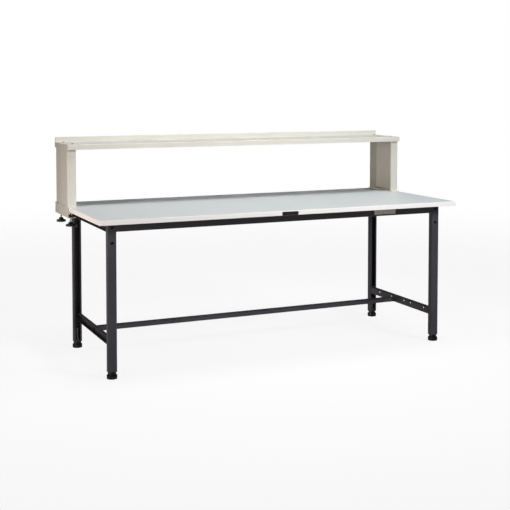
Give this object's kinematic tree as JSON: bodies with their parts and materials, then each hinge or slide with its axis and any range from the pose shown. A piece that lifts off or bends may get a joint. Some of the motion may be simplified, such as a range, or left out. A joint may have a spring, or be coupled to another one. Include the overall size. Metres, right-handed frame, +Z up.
{
  "type": "workbench with upper shelf",
  "caption": "Industrial workbench: laminated worktop on a bolted channel-steel frame with adjuster feet, and an upper shelf on uprights clamped to the worktop's side edges.",
  "frame": {"origin": "on the floor, below the middle of the whole box", "axes": "+X along the bench to the right as seen from its front, +Y from front to rear, +Z up"},
  "size_m": [1.8134, 0.7722, 1.018],
  "materials": {
    "chipboard": "pressed chipboard, hidden core",
    "grey_laminate": "light grey melamine laminate, satin",
    "backer_sheet": "grey backing paper",
    "ivory_edging": "ivory ABS edge band, satin",
    "dark_plate": "bare dark plate",
    "white_label": "bare white label",
    "charcoal_powder_coat": "charcoal powder coat on folded steel",
    "black_steel": "blackened steel fasteners",
    "zinc_steel": "zinc-plated steel",
    "black_plastic": "moulded black polyamide",
    "ivory_powder_coat": "ivory powder coat on folded steel"
  },
  "bodies": {
    "bench": {"apron_label": "white_label", "corner_gussets": "charcoal_powder_coat", "edge_band_front": "ivory_edging", "edge_band_left": "ivory_edging", "edge_band_rear": "ivory_edging", "edge_band_right": "ivory_edging", "foot_sockets": "charcoal_powder_coat", "frame_bolts": "black_steel", "frame_nuts": "zinc_steel", "front_apron": "charcoal_powder_coat", "leg_brackets": "charcoal_powder_coat", "leg_front_left": "charcoal_powder_coat", "leg_front_right": "charcoal_powder_coat", "leg_rear_left": "charcoal_powder_coat", "leg_rear_right": "charcoal_powder_coat", "lower_rail_left": "charcoal_powder_coat", "lower_rail_right": "charcoal_powder_coat", "lower_stretcher": "charcoal_powder_coat", "name_plate": "dark_plate", "rear_apron": "charcoal_powder_coat", "stretcher_end_plates": "charcoal_powder_coat", "top_rail_left": "charcoal_powder_coat", "top_rail_right": "charcoal_powder_coat", "worktop_backer": "backer_sheet", "worktop_core": "chipboard", "worktop_laminate": "grey_laminate", "worktop_screws": "zinc_steel"},
    "stand": {"shelf_deck": "ivory_powder_coat", "shelf_front_edge": "ivory_powder_coat", "shelf_upstand": "ivory_powder_coat", "shelf_end_left": "ivory_powder_coat", "shelf_end_right": "ivory_powder_coat", "shelf_stiffener": "ivory_powder_coat", "upright_left": "ivory_powder_coat", "upright_right": "ivory_powder_coat", "clamp_bracket_left": "ivory_powder_coat", "clamp_bracket_right": "ivory_powder_coat", "shelf_screws": "zinc_steel", "stand_nuts": "zinc_steel"},
    "foot_front_left": {"foot_pad_front_left": "black_plastic"},
    "foot_screw_front_left": {"foot_stem_front_left": "zinc_steel"},
    "foot_front_right": {"foot_pad_front_right": "black_plastic"},
    "foot_screw_front_right": {"foot_stem_front_right": "zinc_steel"},
    "foot_rear_left": {"foot_pad_rear_left": "black_plastic"},
    "foot_screw_rear_left": {"foot_stem_rear_left": "zinc_steel"},
    "foot_rear_right": {"foot_pad_rear_right": "black_plastic"},
    "foot_screw_rear_right": {"foot_stem_rear_right": "zinc_steel"},
    "clamp_left_front": {"clamp_pad_left_front": "black_plastic"},
    "clamp_screw_left_front": {"clamp_screw_left_front": "zinc_steel", "clamp_knob_left_front": "black_plastic"},
    "clamp_left_rear": {"clamp_pad_left_rear": "black_plastic"},
    "clamp_screw_left_rear": {"clamp_screw_left_rear": "zinc_steel", "clamp_knob_left_rear": "black_plastic"},
    "clamp_right_front": {"clamp_pad_right_front": "black_plastic"},
    "clamp_screw_right_front": {"clamp_screw_right_front": "zinc_steel", "clamp_knob_right_front": "black_plastic"},
    "clamp_right_rear": {"clamp_pad_right_rear": "black_plastic"},
    "clamp_screw_right_rear": {"clamp_screw_right_rear": "zinc_steel", "clamp_knob_right_rear": "black_plastic"}
  },
  "joints": [
    {"name": "stand_slide", "type": "slide", "parent": "bench", "child": "stand", "axis": [0, 1, 0], "range_m": [-0.49, 0]},
    {"name": "foot_front_left_travel", "type": "slide", "parent": "bench", "child": "foot_front_left", "axis": [0, 0, 1], "range_m": [-0.015, 0]},
    {"name": "foot_front_left_turn", "type": "hinge", "parent": "foot_front_left", "child": "foot_screw_front_left", "pos_m": [-0.827, -0.3039, 0.03], "axis": [0, 0, 1], "range_deg": [-3600, 0]},
    {"name": "foot_front_right_travel", "type": "slide", "parent": "bench", "child": "foot_front_right", "axis": [0, 0, 1], "range_m": [-0.015, 0]},
    {"name": "foot_front_right_turn", "type": "hinge", "parent": "foot_front_right", "child": "foot_screw_front_right", "pos_m": [0.827, -0.3039, 0.03], "axis": [0, 0, 1], "range_deg": [-3600, 0]},
    {"name": "foot_rear_left_travel", "type": "slide", "parent": "bench", "child": "foot_rear_left", "axis": [0, 0, 1], "range_m": [-0.015, 0]},
    {"name": "foot_rear_left_turn", "type": "hinge", "parent": "foot_rear_left", "child": "foot_screw_rear_left", "pos_m": [-0.827, 0.2841, 0.03], "axis": [0, 0, 1], "range_deg": [-3600, 0]},
    {"name": "foot_rear_right_travel", "type": "slide", "parent": "bench", "child": "foot_rear_right", "axis": [0, 0, 1], "range_m": [-0.015, 0]},
    {"name": "foot_rear_right_turn", "type": "hinge", "parent": "foot_rear_right", "child": "foot_screw_rear_right", "pos_m": [0.827, 0.2841, 0.03], "axis": [0, 0, 1], "range_deg": [-3600, 0]},
    {"name": "clamp_left_front_travel", "type": "slide", "parent": "stand", "child": "clamp_left_front", "axis": [0, 0, 1], "range_m": [-0.019, 0]},
    {"name": "clamp_left_front_turn", "type": "hinge", "parent": "clamp_left_front", "child": "clamp_screw_left_front", "pos_m": [-0.884, 0.1691, 0.65], "axis": [0, 0, 1], "range_deg": [-5472, 0]},
    {"name": "clamp_left_rear_travel", "type": "slide", "parent": "stand", "child": "clamp_left_rear", "axis": [0, 0, 1], "range_m": [-0.019, 0]},
    {"name": "clamp_left_rear_turn", "type": "hinge", "parent": "clamp_left_rear", "child": "clamp_screw_left_rear", "pos_m": [-0.884, 0.3531, 0.65], "axis": [0, 0, 1], "range_deg": [-5472, 0]},
    {"name": "clamp_right_front_travel", "type": "slide", "parent": "stand", "child": "clamp_right_front", "axis": [0, 0, 1], "range_m": [-0.019, 0]},
    {"name": "clamp_right_front_turn", "type": "hinge", "parent": "clamp_right_front", "child": "clamp_screw_right_front", "pos_m": [0.884, 0.1691, 0.65], "axis": [0, 0, 1], "range_deg": [-5472, 0]},
    {"name": "clamp_right_rear_travel", "type": "slide", "parent": "stand", "child": "clamp_right_rear", "axis": [0, 0, 1], "range_m": [-0.019, 0]},
    {"name": "clamp_right_rear_turn", "type": "hinge", "parent": "clamp_right_rear", "child": "clamp_screw_right_rear", "pos_m": [0.884, 0.3531, 0.65], "axis": [0, 0, 1], "range_deg": [-5472, 0]}
  ],
  "couplings": [
    {"joint": "foot_front_left_turn", "follows": "foot_front_left_travel", "rad_per_m": 4188.8},
    {"joint": "foot_front_right_turn", "follows": "foot_front_right_travel", "rad_per_m": 4188.8},
    {"joint": "foot_rear_left_turn", "follows": "foot_rear_left_travel", "rad_per_m": 4188.8},
    {"joint": "foot_rear_right_turn", "follows": "foot_rear_right_travel", "rad_per_m": 4188.8},
    {"joint": "clamp_left_front_turn", "follows": "clamp_left_front_travel", "rad_per_m": 5026.5},
    {"joint": "clamp_left_rear_turn", "follows": "clamp_left_rear_travel", "rad_per_m": 5026.5},
    {"joint": "clamp_right_front_turn", "follows": "clamp_right_front_travel", "rad_per_m": 5026.5},
    {"joint": "clamp_right_rear_turn", "follows": "clamp_right_rear_travel", "rad_per_m": 5026.5}
  ]
}
